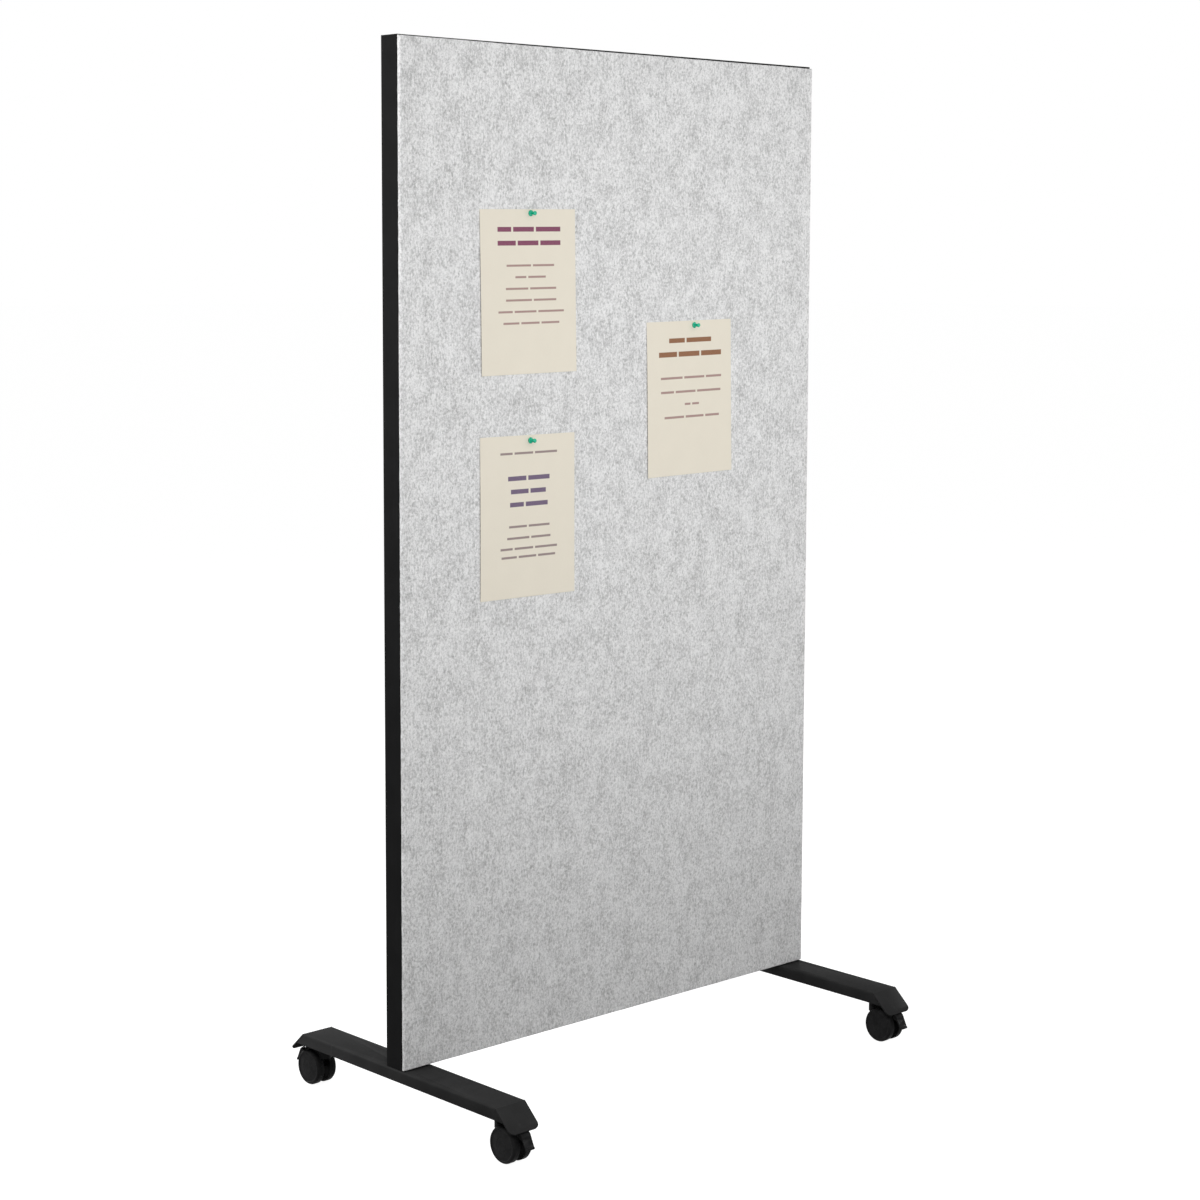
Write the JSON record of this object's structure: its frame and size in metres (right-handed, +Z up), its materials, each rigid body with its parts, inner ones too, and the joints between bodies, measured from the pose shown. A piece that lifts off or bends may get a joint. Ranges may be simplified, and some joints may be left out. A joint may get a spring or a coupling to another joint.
{
  "type": "mobile glass whiteboard",
  "caption": "Tall mobile board: white glass writing face on one side, grey felt tack face with pinned sheets on the other, thin black frame, bent steel legs, braked twin-wheel casters.",
  "frame": {"origin": "on the floor, under the middle of the panel", "axes": "+Z up, +X along the panel's width, the felt faces -Y and the glass faces +Y"},
  "size_m": [0.9956, 0.6236, 1.8201],
  "materials": {
    "frame_black": "satin",
    "leg_black": "satin",
    "caster_black": "satin",
    "felt_grey": "matte",
    "board_glass": "polished",
    "backer_steel": "satin",
    "honeycomb": "matte",
    "zinc": "satin",
    "key_alloy": "satin",
    "sheet_cream": "matte",
    "pin_green": "gloss"
  },
  "bodies": {
    "board": {"frame_stile_left": "frame_black", "frame_stile_right": "frame_black", "frame_rail_top": "frame_black", "frame_rail_bottom": "frame_black", "corner_key_top_left": "key_alloy", "corner_key_top_right": "key_alloy", "corner_key_bottom_left": "key_alloy", "corner_key_bottom_right": "key_alloy", "core_panel": "honeycomb", "steel_backer": "backer_steel", "glass_board": "board_glass", "felt_panel": "felt_grey", "leg_left": "leg_black", "leg_right": "leg_black", "leg_bolt_left_outer": "zinc", "leg_bolt_left_inner": "zinc", "leg_bolt_right_outer": "zinc", "leg_bolt_right_inner": "zinc", "weld_nut_front_left": "leg_black", "weld_nut_front_right": "leg_black", "weld_nut_rear_left": "leg_black", "weld_nut_rear_right": "leg_black", "stem_front_left": "zinc", "stem_front_right": "zinc", "stem_rear_left": "zinc", "stem_rear_right": "zinc", "sheet_upper_left": "sheet_cream", "sheet_middle_right": "sheet_cream", "sheet_lower_left": "sheet_cream", "push_pin_upper_left": "pin_green", "push_pin_middle_right": "pin_green", "push_pin_lower_left": "pin_green"},
    "caster_front_left": {"hood_front_left": "caster_black", "axle_front_left": "zinc", "brake_pin_front_left": "zinc"},
    "wheel_front_left_inner": {"wheel_front_left_inner": "caster_black"},
    "wheel_front_left_outer": {"wheel_front_left_outer": "caster_black"},
    "brake_front_left": {"brake_lever_front_left": "caster_black"},
    "caster_front_right": {"hood_front_right": "caster_black", "axle_front_right": "zinc", "brake_pin_front_right": "zinc"},
    "wheel_front_right_inner": {"wheel_front_right_inner": "caster_black"},
    "wheel_front_right_outer": {"wheel_front_right_outer": "caster_black"},
    "brake_front_right": {"brake_lever_front_right": "caster_black"},
    "caster_rear_left": {"hood_rear_left": "caster_black", "axle_rear_left": "zinc", "brake_pin_rear_left": "zinc"},
    "wheel_rear_left_inner": {"wheel_rear_left_inner": "caster_black"},
    "wheel_rear_left_outer": {"wheel_rear_left_outer": "caster_black"},
    "brake_rear_left": {"brake_lever_rear_left": "caster_black"},
    "caster_rear_right": {"hood_rear_right": "caster_black", "axle_rear_right": "zinc", "brake_pin_rear_right": "zinc"},
    "wheel_rear_right_inner": {"wheel_rear_right_inner": "caster_black"},
    "wheel_rear_right_outer": {"wheel_rear_right_outer": "caster_black"},
    "brake_rear_right": {"brake_lever_rear_right": "caster_black"}
  },
  "joints": [
    {"name": "swivel_front_left", "type": "hinge", "parent": "board", "child": "caster_front_left", "pos_m": [-0.4653, -0.2391, 0.07], "axis": [0, 0, 1], "continuous": true},
    {"name": "roll_front_left_inner", "type": "hinge", "parent": "caster_front_left", "child": "wheel_front_left_inner", "pos_m": [-0.4515, -0.2628, 0.0308], "axis": [1, 0, 0], "continuous": true},
    {"name": "roll_front_left_outer", "type": "hinge", "parent": "caster_front_left", "child": "wheel_front_left_outer", "pos_m": [-0.4791, -0.2628, 0.0308], "axis": [1, 0, 0], "continuous": true},
    {"name": "brake_front_left", "type": "hinge", "parent": "caster_front_left", "child": "brake_front_left", "pos_m": [-0.4653, -0.28305, 0.0614], "axis": [1, 0, 0], "range_deg": [0, 12]},
    {"name": "swivel_front_right", "type": "hinge", "parent": "board", "child": "caster_front_right", "pos_m": [0.4653, -0.2391, 0.07], "axis": [0, 0, 1], "continuous": true},
    {"name": "roll_front_right_inner", "type": "hinge", "parent": "caster_front_right", "child": "wheel_front_right_inner", "pos_m": [0.4515, -0.2628, 0.0308], "axis": [1, 0, 0], "continuous": true},
    {"name": "roll_front_right_outer", "type": "hinge", "parent": "caster_front_right", "child": "wheel_front_right_outer", "pos_m": [0.4791, -0.2628, 0.0308], "axis": [1, 0, 0], "continuous": true},
    {"name": "brake_front_right", "type": "hinge", "parent": "caster_front_right", "child": "brake_front_right", "pos_m": [0.4653, -0.28305, 0.0614], "axis": [1, 0, 0], "range_deg": [0, 12]},
    {"name": "swivel_rear_left", "type": "hinge", "parent": "board", "child": "caster_rear_left", "pos_m": [-0.4653, 0.2391, 0.07], "axis": [0, 0, 1], "continuous": true},
    {"name": "roll_rear_left_inner", "type": "hinge", "parent": "caster_rear_left", "child": "wheel_rear_left_inner", "pos_m": [-0.4515, 0.2628, 0.0308], "axis": [1, 0, 0], "continuous": true},
    {"name": "roll_rear_left_outer", "type": "hinge", "parent": "caster_rear_left", "child": "wheel_rear_left_outer", "pos_m": [-0.4791, 0.2628, 0.0308], "axis": [1, 0, 0], "continuous": true},
    {"name": "brake_rear_left", "type": "hinge", "parent": "caster_rear_left", "child": "brake_rear_left", "pos_m": [-0.4653, 0.28305, 0.0614], "axis": [-1, 0, 0], "range_deg": [0, 12]},
    {"name": "swivel_rear_right", "type": "hinge", "parent": "board", "child": "caster_rear_right", "pos_m": [0.4653, 0.2391, 0.07], "axis": [0, 0, 1], "continuous": true},
    {"name": "roll_rear_right_inner", "type": "hinge", "parent": "caster_rear_right", "child": "wheel_rear_right_inner", "pos_m": [0.4515, 0.2628, 0.0308], "axis": [1, 0, 0], "continuous": true},
    {"name": "roll_rear_right_outer", "type": "hinge", "parent": "caster_rear_right", "child": "wheel_rear_right_outer", "pos_m": [0.4791, 0.2628, 0.0308], "axis": [1, 0, 0], "continuous": true},
    {"name": "brake_rear_right", "type": "hinge", "parent": "caster_rear_right", "child": "brake_rear_right", "pos_m": [0.4653, 0.28305, 0.0614], "axis": [-1, 0, 0], "range_deg": [0, 12]}
  ]
}
